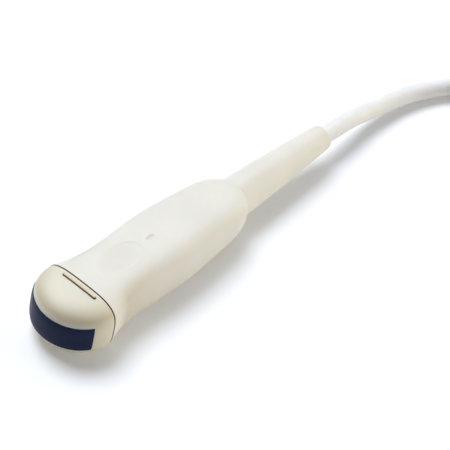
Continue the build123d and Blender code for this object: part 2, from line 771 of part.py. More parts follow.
def make_plug_base():
    """Tray of the plug with its shroud, cable saddle and screw bosses."""
    base = slab(PLUG_LENGTH, PLUG_WIDTH, PLUG_CORNER, SHROUD_DEPTH, SPLIT_Z, plug_x, plug_y)
    base -= slab(inner_length, inner_width, inner_corner, plug_floor, SPLIT_Z, plug_x, plug_y)
    tongue_length = inner_length + 2 * TONGUE_WALL
    tongue_width = inner_width + 2 * TONGUE_WALL
    tongue_top = SPLIT_Z + TONGUE_HEIGHT
    tongue = slab(
        tongue_length, tongue_width, inner_corner + TONGUE_WALL, SPLIT_Z, tongue_top, plug_x, plug_y
    )
    base += tongue - slab(inner_length, inner_width, inner_corner, SPLIT_Z, tongue_top, plug_x, plug_y)
    shroud = slab(SHROUD_LENGTH, SHROUD_WIDTH, SHROUD_CORNER, 0, SHROUD_DEPTH, plug_x, plug_y)
    base += shroud - slab(
        SHROUD_LENGTH - 2 * SHROUD_WALL,
        SHROUD_WIDTH - 2 * SHROUD_WALL,
        SHROUD_CORNER - SHROUD_WALL,
        0,
        SHROUD_DEPTH,
        plug_x,
        plug_y,
    )
    base += Pos((saddle_start + saddle_end) / 2, entry_y, (plug_floor + SPLIT_Z) / 2) * Box(
        SADDLE_LENGTH, SADDLE_WIDTH, SPLIT_Z - plug_floor
    )
    for x, y in cover_screw_spots():
        base += post(COVER_BOSS_RADIUS, x, y, SHROUD_DEPTH, SPLIT_Z)
        base -= post(COVER_HEAD_RADIUS + SLIP_GAP, x, y, SHROUD_DEPTH, head_seat())
        base -= post(COVER_SCREW_RADIUS + SLIP_GAP, x, y, SHROUD_DEPTH, SPLIT_Z)
    base -= slab(
        BLOCK_LENGTH + 2 * SLIP_GAP,
        BLOCK_WIDTH + 2 * SLIP_GAP,
        BLOCK_CORNER + SLIP_GAP,
        SHROUD_DEPTH,
        plug_floor,
        plug_x,
        plug_y,
    )
    for x in (plug_x - PIN_OFFSET, plug_x + PIN_OFFSET):
        base -= post(PIN_SHANK_RADIUS + SEAT_GAP, x, plug_y, SHROUD_DEPTH, plug_floor)
    base -= entry_rod(PLUG_BOOT_NECK_RADIUS + SEAT_GAP, PLUG_REAR_X, PLUG_REAR_X + PLUG_WALL)
    base -= entry_rod(CORE_RADIUS + SEAT_GAP, saddle_start, saddle_end)
    for y in (entry_y - STRAP_SCREW_OFFSET, entry_y + STRAP_SCREW_OFFSET):
        x = (saddle_start + saddle_end) / 2
        base -= post(CLAMP_SCREW_RADIUS + SEAT_GAP, x, y, SPLIT_Z - STRAP_SCREW_DEPTH, SPLIT_Z)
    return base


def head_seat():
    """Height at which a cover screw's head bears on its boss."""
    return SHROUD_DEPTH + COVER_HEAD_SINK + COVER_HEAD_HEIGHT


def make_plug_cover():
    """Lid of the plug with its lock bearing and screw bosses."""
    cover = slab(PLUG_LENGTH, PLUG_WIDTH, PLUG_CORNER, SPLIT_Z, PLUG_TOP, plug_x, plug_y)
    cover = fillet(cover.faces().sort_by(Axis.Z)[-1].edges(), PLUG_TOP_ROUND)
    cover -= slab(inner_length, inner_width, inner_corner, SPLIT_Z, plug_ceiling, plug_x, plug_y)
    rebate = TONGUE_WALL + SLIP_GAP
    cover -= slab(
        inner_length + 2 * rebate,
        inner_width + 2 * rebate,
        inner_corner + rebate,
        SPLIT_Z,
        SPLIT_Z + TONGUE_HEIGHT + SLIP_GAP,
        plug_x,
        plug_y,
    )
    for x, y in cover_screw_spots():
        cover += post(COVER_BOSS_RADIUS, x, y, SPLIT_Z, plug_ceiling)
        cover -= post(COVER_SCREW_RADIUS + SEAT_GAP, x, y, SPLIT_Z, head_seat() + COVER_SCREW_LENGTH)
    cover -= post(SHAFT_RADIUS + SLIP_GAP, plug_x, plug_y, plug_ceiling, PLUG_TOP)
    cover -= entry_rod(PLUG_BOOT_NECK_RADIUS + SEAT_GAP, PLUG_REAR_X, PLUG_REAR_X + PLUG_WALL)
    return cover


def make_cover_screws():
    """Screws from below that hold the cover."""
    screws = []
    for x, y in cover_screw_spots():
        head = post(COVER_HEAD_RADIUS, x, y, head_seat() - COVER_HEAD_HEIGHT, head_seat())
        screws.append(head + post(COVER_SCREW_RADIUS, x, y, head_seat(), head_seat() + COVER_SCREW_LENGTH))
    return screws


def make_contact_block():
    """Insulator in the shroud, flanged on the plug's floor, with a pocket for the crossbar."""
    body = slab(BLOCK_LENGTH, BLOCK_WIDTH, BLOCK_CORNER, BLOCK_RECESS, plug_floor, plug_x, plug_y)
    flange_length = BLOCK_LENGTH + 2 * BLOCK_FLANGE
    flange_width = BLOCK_WIDTH + 2 * BLOCK_FLANGE
    body += slab(flange_length, flange_width, BLOCK_CORNER, plug_floor, flange_top, plug_x, plug_y)
    pocket_top = BLOCK_RECESS + CROSSBAR_POCKET_DEPTH
    body -= post(CROSSBAR_POCKET_RADIUS, plug_x, plug_y, BLOCK_RECESS, pocket_top)
    return body - post(SHAFT_RADIUS + SLIP_GAP, plug_x, plug_y, BLOCK_RECESS, flange_top)


def make_contact_pads():
    """Two banks of contact pads on the insulator's face."""
    pads = []
    for bank in (-1, 1):
        for column in range(PAD_COLUMNS):
            for row in range(PAD_ROWS):
                x = plug_x + bank * PAD_BANK_OFFSET + (column - (PAD_COLUMNS - 1) / 2) * PAD_COLUMN_PITCH
                y = plug_y + (row - (PAD_ROWS - 1) / 2) * PAD_ROW_PITCH
                z = BLOCK_RECESS - PAD_HEIGHT / 2
                pads.append(Pos(x, y, z) * Box(PAD_LENGTH, PAD_WIDTH, PAD_HEIGHT))
    return pads


def make_guide_pins():
    """Shouldered steel pins that line the plug up with its socket."""
    pins = []
    for x in (plug_x - PIN_OFFSET, plug_x + PIN_OFFSET):
        shank = post(PIN_SHANK_RADIUS, x, plug_y, SHROUD_DEPTH, plug_floor)
        pins.append(shank + post(PIN_RADIUS, x, plug_y, PIN_TIP_RECESS, SHROUD_DEPTH))
    return pins


def make_plug_board():
    """Board on the insulator, with a hole for the lock shaft."""
    board = slab(
        PLUG_BOARD_LENGTH, PLUG_BOARD_WIDTH, BLOCK_CORNER, flange_top, plug_board_top, plug_x, plug_y
    )
    return board - post(SHAFT_RADIUS + RUNNING_GAP, plug_x, plug_y, flange_top, plug_board_top)


def make_plug_boot():
    """Tapered boot gripped between the two halves of the plug."""
    flange_end = PLUG_WALL + PLUG_BOOT_FLANGE_LENGTH
    outline = Polyline(
        (-PLUG_BOOT_LENGTH, 0),
        (-PLUG_BOOT_LENGTH, PLUG_BOOT_TIP_RADIUS),
        (0, PLUG_BOOT_BASE_RADIUS),
        (0, PLUG_BOOT_NECK_RADIUS),
        (PLUG_WALL, PLUG_BOOT_NECK_RADIUS),
        (PLUG_WALL, PLUG_BOOT_FLANGE_RADIUS),
        (flange_end, PLUG_BOOT_FLANGE_RADIUS),
        (flange_end, 0),
        (-PLUG_BOOT_LENGTH, 0),
    )
    boot = turned([*outline.edges()], entry_origin)
    boot = fillet(boot.edges().group_by(Axis.X)[0], BOOT_TIP_ROUND)
    boot -= entry_rod(cable_radius + SEAT_GAP, plug_boot_tip, tail_end)
    return boot - entry_rod(CORE_RADIUS + SEAT_GAP, tail_end, PLUG_REAR_X + flange_end)


def make_plug_core():
    """Screened core from the jacket's end to the far side of the saddle."""
    return entry_rod(CORE_RADIUS, tail_end, PLUG_REAR_X + PLUG_CORE_REACH)


def make_plug_fanout():
    """Fine wires from the core down to the plug's board."""
    start = PLUG_REAR_X + PLUG_CORE_REACH
    round_plane = Plane(origin=(start, entry_y, SPLIT_Z), x_dir=(0, 1, 0), z_dir=(1, 0, 0))
    flat_plane = Plane(
        origin=(
            start + PLUG_FANOUT_LENGTH,
            entry_y + PLUG_FANOUT_SHIFT,
            plug_board_top + SLIP_GAP + PLUG_FANOUT_HEIGHT / 2,
        ),
        x_dir=(0, 1, 0),
        z_dir=(1, 0, 0),
    )
    flat_end = flat_plane * Ellipse(PLUG_FANOUT_WIDTH / 2, PLUG_FANOUT_HEIGHT / 2)
    return loft([round_plane * Circle(CORE_RADIUS), flat_end])


def make_clamp_strap():
    """Strap that holds the core in the plug's saddle."""
    x = (saddle_start + saddle_end) / 2
    low = SPLIT_Z + CLAMP_SPLIT
    strap = Pos(x, entry_y, low + STRAP_HEIGHT / 2) * Box(SADDLE_LENGTH, SADDLE_WIDTH, STRAP_HEIGHT)
    strap -= entry_rod(CORE_RADIUS + SEAT_GAP, saddle_start, saddle_end)
    for y in (entry_y - STRAP_SCREW_OFFSET, entry_y + STRAP_SCREW_OFFSET):
        strap -= post(CLAMP_SCREW_RADIUS + SEAT_GAP, x, y, low, low + STRAP_HEIGHT)
    return strap


def make_strap_screws():
    """Screws of the plug's clamp strap."""
    screws = []
    x = (saddle_start + saddle_end) / 2
    top = SPLIT_Z + CLAMP_SPLIT + STRAP_HEIGHT
    for y in (entry_y - STRAP_SCREW_OFFSET, entry_y + STRAP_SCREW_OFFSET):
        shank = post(CLAMP_SCREW_RADIUS, x, y, SPLIT_Z - STRAP_SCREW_DEPTH, top)
        screws.append(shank + post(SMALL_HEAD_RADIUS, x, y, top, top + SMALL_HEAD_HEIGHT))
    return screws


def make_lock_shaft():
    """Shaft with a crossbar at its lower end and a clip groove under the cover."""
    shaft = post(SHAFT_RADIUS, plug_x, plug_y, crossbar_high, shaft_top)
    bar = SlotOverall(CROSSBAR_LENGTH, CROSSBAR_WIDTH, rotation=90)
    shaft += Pos(plug_x, plug_y, crossbar_low) * extrude(bar, amount=CROSSBAR_HEIGHT)
    groove_low = clip_top - CLIP_THICKNESS - SEAT_GAP
    groove_high = clip_top + SEAT_GAP
    groove = post(SHAFT_RADIUS, plug_x, plug_y, groove_low, groove_high)
    shaft -= groove - post(CLIP_GROOVE_RADIUS, plug_x, plug_y, groove_low, groove_high)
    bore_low = shaft_top - KNOB_SCREW_LENGTH
    return shaft - post(KNOB_SCREW_RADIUS + SEAT_GAP, plug_x, plug_y, bore_low, shaft_top)


def make_shaft_clip():
    """Retaining ring in the shaft's groove."""
    low = clip_top - CLIP_THICKNESS
    ring = post(CLIP_RADIUS, plug_x, plug_y, low, clip_top)
    return ring - post(CLIP_GROOVE_RADIUS + SEAT_GAP, plug_x, plug_y, low, clip_top)


def make_lock_knob():
    """Round knob with a grip bar, seated on the shaft."""
    low = PLUG_TOP + RUNNING_GAP
    disc_top = low + KNOB_DISC_HEIGHT
    bar_top = disc_top + KNOB_BAR_HEIGHT
    disc = post(KNOB_RADIUS, plug_x, plug_y, low, disc_top)
    disc = fillet(disc.faces().sort_by(Axis.Z)[-1].edges(), KNOB_ROUND)
    bar_outline = SlotOverall(KNOB_BAR_LENGTH, KNOB_BAR_WIDTH, rotation=90)
    bar = Pos(plug_x, plug_y, low) * extrude(bar_outline, amount=bar_top - low)
    bar = fillet(bar.faces().sort_by(Axis.Z)[-1].edges(), KNOB_ROUND)
    knob = disc + bar
    knob -= post(SHAFT_RADIUS + SEAT_GAP, plug_x, plug_y, low, shaft_top)
    knob -= post(KNOB_SCREW_RADIUS + SEAT_GAP, plug_x, plug_y, shaft_top, bar_top)
    return knob - post(KNOB_SCREW_HEAD_RADIUS + SLIP_GAP, plug_x, plug_y, knob_screw_seat(), bar_top)


def knob_screw_seat():
    """Height at which the knob screw's head bears in its pocket."""
    return PLUG_TOP + RUNNING_GAP + KNOB_DISC_HEIGHT + KNOB_BAR_HEIGHT - KNOB_SCREW_SINK


def make_knob_screw():
    """Screw that holds the knob on its shaft."""
    seat = knob_screw_seat()
    head = post(KNOB_SCREW_HEAD_RADIUS, plug_x, plug_y, seat, seat + KNOB_SCREW_HEAD_HEIGHT)
    return head + post(KNOB_SCREW_RADIUS, plug_x, plug_y, shaft_top - KNOB_SCREW_LENGTH, seat)


pieces = {
    "acoustic_lens": make_acoustic_lens(),
    "nose_cap": make_nose_cap(),
    "orientation_rib": make_orientation_rib(),
    "seam_seal": make_seam_seal(),
    "handle_shell": make_handle_shell(),
    "strain_relief": make_strain_relief(),
    "matching_layer": make_matching_layer(),
    "element_array": make_element_array(),
    "backing_block": make_backing_block(),
    "array_carrier": make_array_carrier(),
    "upper_flex_circuit": make_flex_circuit(1),
    "lower_flex_circuit": make_flex_circuit(-1),
    "upper_board": make_board(1),
    "lower_board": make_board(-1),
    "flex_sockets": make_flex_sockets(),
    "board_spacers": make_board_spacers(),
    "board_screws": make_board_screws(),
    "shield_sleeve": make_shield_sleeve(),
    "rear_bulkhead": make_rear_bulkhead(),
    "clamp_base": make_clamp_base(),
    "clamp_cap": make_clamp_cap(),
    "clamp_screws": make_clamp_screws(),
    "core_ferrule": make_core_ferrule(),
    "cable_core": make_cable_core(),
    "coax_fanout": make_coax_fanout(),
    "cable_lead": make_tube("cable_lead", lead_points),
    "cable_hank": make_cable_hank(),
    "hank_ties": make_hank_ties(),
    "cable_tail": make_tube("cable_tail", tail_points),
    "plug_boot": make_plug_boot(),
    "plug_base": make_plug_base(),
    "plug_cover": make_plug_cover(),
    "cover_screws": make_cover_screws(),
    "contact_block": make_contact_block(),
    "contact_pads": make_contact_pads(),
    "guide_pins": make_guide_pins(),
    "plug_board": make_plug_board(),
    "plug_core": make_plug_core(),
    "plug_fanout": make_plug_fanout(),
    "clamp_strap": make_clamp_strap(),
    "strap_screws": make_strap_screws(),
    "lock_shaft": make_lock_shaft(),
    "shaft_clip": make_shaft_clip(),
    "lock_knob": make_lock_knob(),
    "knob_screw": make_knob_screw(),
}

for name, piece in pieces.items():
    shape = Compound(children=piece) if isinstance(piece, list) else piece
    export_step(shape, f"parts/{name}.step")
print(len(pieces), "nodes, axis height", round(axis_height, 3), "seam at x", round(seam_x, 3))
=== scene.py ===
# %% [markdown]
# This lesson dresses an ultrasound probe: a hand-held scanner head with a curved navy lens, an ivory grip
# and a long cable. The solids come in at their real size and stay where they are. Everything below gives
# them their finish, lays the cable, and sets up a quiet studio.

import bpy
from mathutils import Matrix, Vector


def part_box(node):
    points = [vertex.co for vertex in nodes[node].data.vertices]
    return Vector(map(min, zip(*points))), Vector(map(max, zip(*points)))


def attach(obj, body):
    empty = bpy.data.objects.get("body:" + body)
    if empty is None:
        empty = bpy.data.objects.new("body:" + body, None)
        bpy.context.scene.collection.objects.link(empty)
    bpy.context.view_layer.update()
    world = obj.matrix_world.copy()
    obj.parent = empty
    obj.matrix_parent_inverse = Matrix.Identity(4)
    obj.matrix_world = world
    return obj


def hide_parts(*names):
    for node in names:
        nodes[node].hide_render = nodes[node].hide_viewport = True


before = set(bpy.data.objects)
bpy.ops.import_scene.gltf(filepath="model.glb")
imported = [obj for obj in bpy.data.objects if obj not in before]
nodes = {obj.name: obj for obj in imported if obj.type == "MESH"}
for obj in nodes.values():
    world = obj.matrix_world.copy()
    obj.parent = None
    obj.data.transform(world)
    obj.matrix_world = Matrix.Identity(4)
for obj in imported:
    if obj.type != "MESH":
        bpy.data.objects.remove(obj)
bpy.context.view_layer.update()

# %% [markdown]
# The camera comes first, because every later choice is judged through it. The probe is seen from above its
# front left corner, with a long lens, so its lines hardly converge. The camera also leans a little, which
# brings the handle up the diagonal of the square picture. A constraint could aim it, but a place, three
# angles and a focal length say it all.

# %% Set the camera
from math import cos, pi, radians, sin

import bpy
from mathutils import Matrix, Vector

CAMERA_PLACE = Vector((-0.5649, -0.3619, 0.6645))
VIEW_AZIMUTH = radians(-58.38)
VIEW_ELEVATION = radians(44.0)
VIEW_LEAN = radians(13.47)
FOCAL_LENGTH = 206.14
SENSOR_WIDTH = 36.0
NEAREST = 0.05
FARTHEST = 100

scene = bpy.context.scene
backward = Vector((
    sin(VIEW_AZIMUTH) * cos(VIEW_ELEVATION),
    -cos(VIEW_AZIMUTH) * cos(VIEW_ELEVATION),
    sin(VIEW_ELEVATION),
))
level_right = Vector((cos(VIEW_AZIMUTH), sin(VIEW_AZIMUTH), 0))
level_up = backward.cross(level_right)
right = level_right * cos(VIEW_LEAN) + level_up * sin(VIEW_LEAN)
upward = backward.cross(right)
camera_turn = Matrix((right, upward, backward)).transposed().to_4x4()
camera = bpy.data.objects.new("camera", bpy.data.cameras.new("camera"))
camera.matrix_world = Matrix.Translation(CAMERA_PLACE) @ camera_turn
camera.data.lens = FOCAL_LENGTH
camera.data.sensor_width = SENSOR_WIDTH
camera.data.clip_start = NEAREST
camera.data.clip_end = FARTHEST
scene.collection.objects.link(camera)
scene.camera = camera
print("camera looks along", [round(part, 3) for part in -backward])

# %% [markdown]
# The cable is a fixed length of something bendy. It leaves the boot straight, sinks to the table, and swings
# round to a tidy hank just outside the picture, where the rest of it is folded away. A rope simulation could
# find such a lay, but a few listed points in millimetres are quicker and give the same lay every time.

# %% Place the cable's route
LEAD_ROUTE = [
    (51.625, 0.0, 11.306),
    (88.5, 0.0, 11.306),
    (107.0, 0.3, 6.6),
    (132.5, -2.5, 3.9),
    (153.0, -12.6, 3.9),
    (168.0, -28.2, 3.6),
    (177.5, -38.6, 3.7),
    (188.5, -47.2, 4.0),
    (200.5, -52.6, 4.3),
    (213.0, -54.6, 4.4),
]
TAIL_ROUTE = [
    (226.0, -54.1, 25.3),
    (239.0, -52.3, 24.7),
    (252.3, -48.3, 23.2),
    (266.0, -46.0, 22.0),
    (280.0, -46.0, 22.0),
]
print("hand-placed points:", len(LEAD_ROUTE) + len(TAIL_ROUTE))

# %% [markdown]
# The hank is a stack of flat spirals: each layer winds in or out, and the next one lies on top of it. Typing
# the turns by hand would be endless, so two small functions say how far out and how high the cable lies after
# any number of turns. Sizes are in millimetres, as in the route.

# %% Lanes of the hank
OUTER_LANE = 33.2
INNER_LANE = 21.0
LAYERS = 4
TURNS_IN_LAYER = 1.75
FIRST_LEVEL = 4.4
LEVEL_STEP = 7.0
RAMP_TURNS = 0.25


def lane_radius(turn):
    """Radius of the cable's lane after so many turns: winding in on one layer and out on the next."""
    layer = min(int(turn / TURNS_IN_LAYER), LAYERS - 1)
    share = turn / TURNS_IN_LAYER - layer
    inward = share if layer % 2 == 0 else 1 - share
    return OUTER_LANE + (INNER_LANE - OUTER_LANE) * inward


def lane_level(turn):
    """Height of the cable after so many turns, with a short ramp from layer to layer."""
    level = FIRST_LEVEL
    for layer in range(1, LAYERS):
        ramp_start = layer * TURNS_IN_LAYER - RAMP_TURNS / 2
        level += LEVEL_STEP * min(max((turn - ramp_start) / RAMP_TURNS, 0), 1)
    return level


print("hank turns:", LAYERS * TURNS_IN_LAYER)

# %% [markdown]
# A loop now walks round the hank and drops a control point wherever the curve needs one. Each end of a turn
# is half of a twelve-sided ring. A curve of order 3 touches the middle of each side, so the ring's corners
# stand a little outside the radius that the cable should have.

# %% Wind the hank
HANK_CENTRE = Vector((219.5, -21.5))
HANK_STRAIGHT = 33.0
RING_SIDES = 12
CORNER_STEP = 360 / RING_SIDES
CORNER_ANGLES = [CORNER_STEP * (corner + 0.5) - 90 for corner in range(RING_SIDES // 2)]
CORNER_REACH = 1 / cos(radians(CORNER_STEP / 2))
QUARTER_TURN = 0.25
STRAIGHT_SHARE = 0.07
ARC_SHARE = 0.36


def lane_point(turn, end, angle=None):
    """Control point of one turn: end is 1 or -1 along the hank, the angle is that of a corner on that end."""
    radius = lane_radius(turn)
    centre = HANK_CENTRE + Vector((end * HANK_STRAIGHT / 2, 0))
    if angle is None:
        side = 1 if QUARTER_TURN < turn % 1 < 1 - QUARTER_TURN else -1
        spot = centre + Vector((0, side * radius))
    else:
        reach = radius * CORNER_REACH
        spot = centre + reach * end * Vector((cos(radians(angle)), sin(radians(angle))))
    return (spot.x, spot.y, lane_level(turn))


def hank_route():
    """All turns of the hank, from the middle of its near side round and round to the top."""
    points = []
    for turn in range(int(LAYERS * TURNS_IN_LAYER)):
        for half, end in ((0.0, 1), (0.5, -1)):
            arc_start = turn + half + STRAIGHT_SHARE
            points.append(lane_point(arc_start, end))
            for angle in CORNER_ANGLES:
                points.append(lane_point(arc_start + ARC_SHARE * (angle + 90) / 180, end, angle))
            points.append(lane_point(arc_start + ARC_SHARE, end))
    return points


cable_points = LEAD_ROUTE + hank_route() + TAIL_ROUTE
print("cable control points:", len(cable_points))

# %% [markdown]
# Now the curve itself. A NURBS curve of order 3 pulls gently inside its control points, as a real jacket
# does. The order and the pinned ends are set after the points are in, since Blender resets them when points
# are added. The round bevel is one unit deep and each point's radius scales it to half the diameter, because
# Blender takes those radii when it works out the curve's box.

# %% Lay the cable
CABLE_DIAMETER = 0.007
MILLI = 0.001
STEPS_PER_POINT = 8
BEVEL_STEPS = 6
CURVE_ORDER = 3


def make_cable():
    """One open NURBS curve along the route, as thick as the cable."""
    curve = bpy.data.curves.new("cable", "CURVE")
    curve.dimensions = "3D"
    curve.resolution_u = STEPS_PER_POINT
    curve.bevel_depth = 1.0
    curve.bevel_resolution = BEVEL_STEPS
    curve.use_fill_caps = True
    spline = curve.splines.new("NURBS")
    spline.points.add(len(cable_points) - 1)
    for point, spot in zip(spline.points, cable_points):
        point.co = (*(MILLI * part for part in spot), 1)
        point.radius = CABLE_DIAMETER / 2
    spline.order_u = CURVE_ORDER
    spline.use_endpoint_u = True
    piece = bpy.data.objects.new("cable", curve)
    scene.collection.objects.link(piece)
    return piece


cable = make_cable()
print("cable laid, diameter", CABLE_DIAMETER)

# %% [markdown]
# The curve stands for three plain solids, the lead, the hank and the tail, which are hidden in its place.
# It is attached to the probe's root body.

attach(cable, "root")
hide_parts("cable_lead", "cable_hank", "cable_tail")

# %% [markdown]
# Every finish below is a Principled shader fed by a few textures. Nothing is painted by hand, so no finish
# needs an image or an unwrap. Building node trees in code is wordy, so four small helpers come first: one
# starts a material, two add a node and feed its sockets, and one hands the finish to the solids.

# %% Helpers for node trees
def begin(name):
    """New material, with its node tree and its shader."""
    material = bpy.data.materials.new(name)
    material.use_nodes = True
    return material, material.node_tree, material.node_tree.nodes["Principled BSDF"]


def add(tree, kind, inputs=None, **settings):
    """Add a shader node. An input is either a socket to link from or a plain value."""
    made = tree.nodes.new(kind)
    for name, value in settings.items():
        setattr(made, name, value)
    feed(tree, made, inputs or {})
    return made


def feed(tree, made, inputs):
    """Set or link the inputs of a node, by name or by number."""
    for name, value in inputs.items():
        if isinstance(value, bpy.types.NodeSocket):
            tree.links.new(value, made.inputs[name])
        else:
            made.inputs[name].default_value = value


def wear(names, material):
    """Give a finish to solids by name."""
    for name in names:
        nodes[name].data.materials.clear()
        nodes[name].data.materials.append(material)


print("node helpers ready")

# %% [markdown]
# The next helpers are the vocabulary of all the finishes. Noise in the piece's own coordinates sits still on
# it, whatever the piece does. The same noise can become a blend of two tints, a range of gloss, or a relief
# of so many metres, and that is what makes plastic, rubber and metal look made instead of filled in.

# %% Helpers for tint, gloss and relief
NOISE_LOW = 0.3
NOISE_HIGH = 0.7
BEVEL_SAMPLES = 4


def coordinates(tree, stretch=(1, 1, 1), turn=(0, 0, 0)):
    """Coordinates of the piece itself, in metres, stretched or turned if asked."""
    own = add(tree, "ShaderNodeTexCoord").outputs["Object"]
    inputs = {"Vector": own, "Scale": stretch, "Rotation": turn}
    return add(tree, "ShaderNodeMapping", inputs).outputs["Vector"]


def grain(tree, per_metre, detail=2.0, stretch=(1, 1, 1)):
    """Noise with so many lumps to a metre."""
    inputs = {"Vector": coordinates(tree, stretch), "Scale": per_metre, "Detail": detail}
    return add(tree, "ShaderNodeTexNoise", inputs).outputs["Fac"]


def tints(tree, factor, dark, light, low=0.35, high=0.65):
    """Two tints, blended by a factor."""
    ramp = add(tree, "ShaderNodeValToRGB", {"Fac": factor})
    for stop, bound, colour in zip(ramp.color_ramp.elements, (low, high), (dark, light)):
        stop.position = bound
        stop.color = (*colour, 1)
    return ramp.outputs["Color"]


def spread(tree, noise, low, high):
    """Noise spread over a range of numbers."""
    inputs = {"Value": noise, "From Min": NOISE_LOW, "From Max": NOISE_HIGH, "To Min": low, "To Max": high}
    return add(tree, "ShaderNodeMapRange", inputs).outputs["Result"]


def pressed(tree, height, depth, edge=None):
    """Surface relief so many metres deep, over softly rounded edges if asked."""
    inputs = {"Height": height, "Distance": depth, "Strength": 1.0}
    if edge:
        rounded = add(tree, "ShaderNodeBevel", {"Radius": edge}, samples=BEVEL_SAMPLES)
        inputs["Normal"] = rounded.outputs["Normal"]
    return add(tree, "ShaderNodeBump", inputs).outputs["Normal"]


print("finish helpers ready")

# %% [markdown]
# The head and the grip are moulded in ivory plastic. The mould was eroded by sparks, which leaves a very fine
# grain, and that is why the plastic looks matte and its highlight spreads wide. The tint wanders a little,
# as it does in any moulding, and the head comes from a warmer batch than the grip. Light also creeps about a
# millimetre into the plastic, which warms the edge of every shadow, so the shader gets some subsurface. A
# bevel node rounds the sharp edges in the shading alone, so they catch light.

# %% Ivory mouldings
SOFT_DEPTH = 0.0012
SOFT_RADIUS = (1.0, 0.7, 0.4)
MOTTLE_DETAIL = 3.0
GRIT_DETAIL = 1.0
SPARK_ERODED = {"roughness": (0.46, 0.54), "lumps": 60, "grit": 2600, "depth": 0.00001, "edge": 0.0004}


def moulded(name, dark, light, roughness, lumps, grit, depth, edge=None, shine=0.5, soft=0.0):
    """Moulded plastic or rubber: wandering tint, uneven gloss and the fine grain of its mould."""
    material, tree, shader = begin(name)
    mottle = grain(tree, lumps, MOTTLE_DETAIL)
    feed(tree, shader, {
        "Base Color": tints(tree, mottle, dark, light),
        "Roughness": spread(tree, mottle, *roughness),
        "Specular IOR Level": shine,
        "Subsurface Weight": soft,
        "Subsurface Radius": SOFT_RADIUS,
        "Subsurface Scale": SOFT_DEPTH,
        "Normal": pressed(tree, grain(tree, grit, GRIT_DETAIL), depth, edge),
    })
    return material


head_ivory = moulded(
    "head_ivory", (0.725, 0.685, 0.56), (0.76, 0.72, 0.595), soft=0.4, **SPARK_ERODED
)
wear(["nose_cap"], head_ivory)
grip_ivory = moulded(
    "grip_ivory", (0.74, 0.715, 0.63), (0.77, 0.745, 0.66), shine=0.7, soft=0.4, **SPARK_ERODED
)
wear(["handle_shell"], grip_ivory)
plug_ivory = moulded(
    "plug_plastic", (0.74, 0.71, 0.62), (0.78, 0.75, 0.66),
    roughness=(0.45, 0.55), lumps=50, grit=2200, depth=0.00002, edge=0.0006, soft=0.2,
)
wear(["plug_base", "plug_cover"], plug_ivory)
print("ivory on head, grip and plug")

# %% [markdown]
# The lens is cast silicone. It is almost black from the front and shows its navy only where light grazes it,
# so its tint is very deep and it shines only a little. The rib is a tan moulding let into the head, and the
# seam holds a thin bead of brown sealant. All three are the same moulding recipe with other numbers.

# %% Lens, rib and seam
navy = moulded(
    "navy_silicone", (0.0025, 0.0095, 0.043), (0.004, 0.0125, 0.055),
    roughness=(0.36, 0.46), lumps=90, grit=3200, depth=0.000008, shine=0.12,
)
wear(["acoustic_lens"], navy)
tan = moulded(
    "tan_rib", (0.71, 0.59, 0.40), (0.77, 0.65, 0.46),
    roughness=(0.45, 0.55), lumps=220, grit=3000, depth=0.00001, edge=0.0003,
)
wear(["orientation_rib"], tan)
brown = moulded(
    "brown_sealant", (0.035, 0.018, 0.007), (0.055, 0.03, 0.013),
    roughness=(0.55, 0.7), lumps=400, grit=3000, depth=0.00001, shine=0.1,
)
wear(["seam_seal"], brown)
print("lens, rib and seam dressed")

# %% [markdown]
# Each mark below is a tint laid over the first one where some factor is high. One is a real brown line of
# gel beside the seam; the rest are painted shade and a painted highlight. The factor comes from where a point
# lies on the piece or which way the surface faces there. One could paint it as a mask, but then it would need
# an unwrap. A Mix node has sockets for every kind of value, so its colour ones are reached by number.

# %% Helpers for stains and painted light
MIX_FACTOR = 0
MIX_FIRST = 6
MIX_SECOND = 7
MIX_RESULT = 2


def lay_stain_or_painted_light(material, factor, tint):
    """Lay a tint over a finish where the factor is high, for a stain as well as for painted shade and
    highlight.
    """
    tree = material.node_tree
    shader = tree.nodes["Principled BSDF"]
    clean = shader.inputs["Base Color"].links[0].from_socket
    inputs = {MIX_FACTOR: factor, MIX_FIRST: clean, MIX_SECOND: (*tint, 1)}
    mix = add(tree, "ShaderNodeMix", inputs, data_type="RGBA")
    tree.links.new(mix.outputs[MIX_RESULT], shader.inputs["Base Color"])


def reckon(tree, operation, first, second=0.0):
    """One sum with values or sockets."""
    return add(tree, "ShaderNodeMath", {0: first, 1: second}, operation=operation).outputs["Value"]


def fade(tree, value, full, none, strength=1.0):
    """The strength at the first bound, sinking to 0 at the second, and level outside both."""
    inputs = {"Value": value, "From Min": full, "From Max": none, "To Min": strength, "To Max": 0.0}
    return add(tree, "ShaderNodeMapRange", inputs).outputs["Result"]


def position(tree, axis):
    """Where a point of the piece lies along one axis."""
    return add(tree, "ShaderNodeSeparateXYZ", {"Vector": coordinates(tree)}).outputs[axis]


def facing(tree, axis):
    """How far the surface faces along one axis."""
    normal = add(tree, "ShaderNodeTexCoord").outputs["Normal"]
    return add(tree, "ShaderNodeSeparateXYZ", {"Vector": normal}).outputs[axis]


def offset(tree, axis, middle):
    """How far a point of the piece lies from a middle along one axis."""
    return reckon(tree, "ABSOLUTE", reckon(tree, "SUBTRACT", position(tree, axis), middle))


print("stain helpers ready")

# %% [markdown]
# Years of gel and wiping leave a brown line on the ivory a hair's breadth beside the seam, which the distance
# to the seam finds. The rib's flanks get the same brown as painted shade, the shadow along the rib's front,
# and the surface normal finds them.

# %% Brown line at the seam, painted shade on the rib's flanks
# The same brown serves the gel line at the seam and the painted shade on the rib's flanks.
SEAM_AND_SHADE_BROWN = (0.17, 0.105, 0.055)
STAIN_REACH = 0.00008
FLANK_TOP = 0.85
FLANK_FOOT = 0.45
seam_low, seam_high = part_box("seam_seal")
seam_place = (seam_low.x + seam_high.x) / 2
seam_half = (seam_high.x - seam_low.x) / 2

